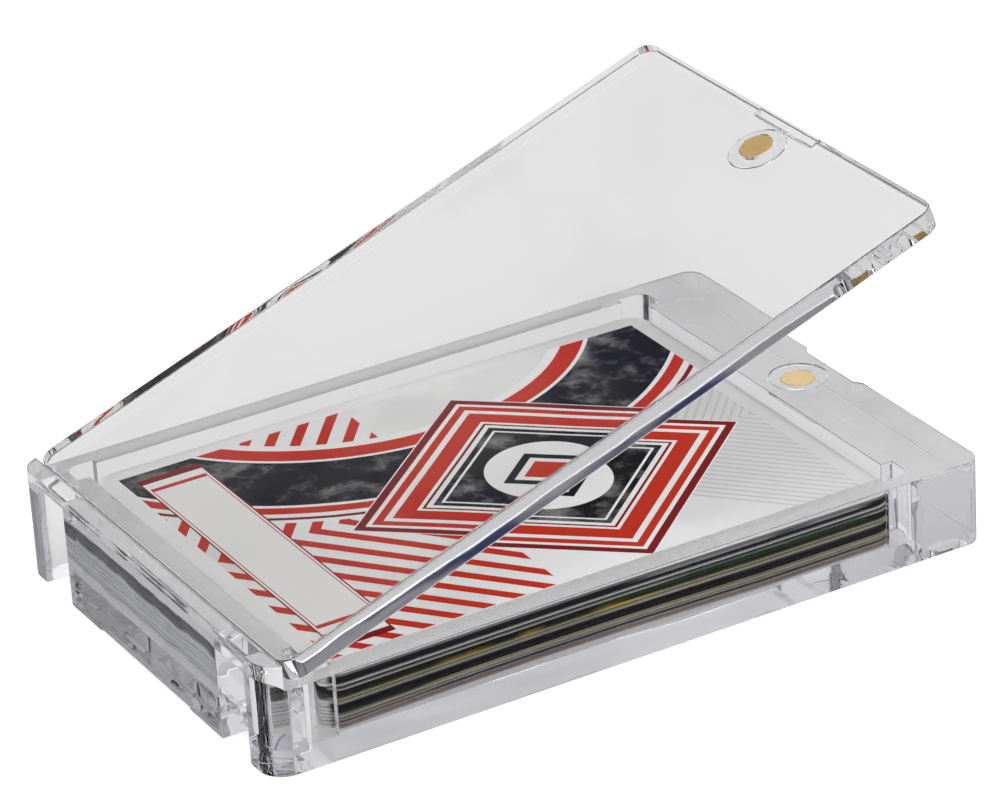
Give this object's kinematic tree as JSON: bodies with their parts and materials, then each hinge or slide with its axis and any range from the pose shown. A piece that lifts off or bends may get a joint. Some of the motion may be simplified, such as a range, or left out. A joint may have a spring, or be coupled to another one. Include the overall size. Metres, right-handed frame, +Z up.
{
  "type": "trading card display case",
  "caption": "Clear rectangular case with a deep well for a stack of trading cards, and a flat hinged lid held shut by disc magnets.",
  "frame": {"origin": "centre of the base's underside", "axes": "+Z up, +X from the hinge end to the magnet end, -Y the near side"},
  "size_m": [0.111, 0.072, 0.0524],
  "materials": {
    "clear_base": "polished",
    "clear_lid": "polished",
    "clear_cap": "polished",
    "gold_magnet": "satin",
    "card_stock": "satin",
    "printed_card": "gloss"
  },
  "bodies": {
    "base": {"base": "clear_base", "base_magnet": "gold_magnet", "base_magnet_cap": "clear_cap"},
    "lid": {"lid": "clear_lid", "lid_magnet": "gold_magnet", "lid_magnet_cap": "clear_cap"},
    "cards": {"card_01": "card_stock", "card_02": "card_stock", "card_03": "card_stock", "card_04": "card_stock", "card_05": "card_stock", "card_06": "card_stock", "card_07": "card_stock", "card_08": "card_stock", "card_09": "card_stock", "card_10": "card_stock", "card_11": "card_stock", "card_12": "card_stock", "card_13": "card_stock", "card_14": "card_stock", "card_15": "card_stock", "top_card": "printed_card"}
  },
  "joints": [
    {"name": "lid_hinge", "type": "hinge", "parent": "base", "child": "lid", "pos_m": [-0.0526, 0, 0.0162], "axis": [0, -1, 0], "range_deg": [-19.7, 70.3]},
    {"name": "card_stack_lift", "type": "slide", "parent": "base", "child": "cards", "axis": [0, 0, 1], "range_m": [0, 0.0033]}
  ]
}
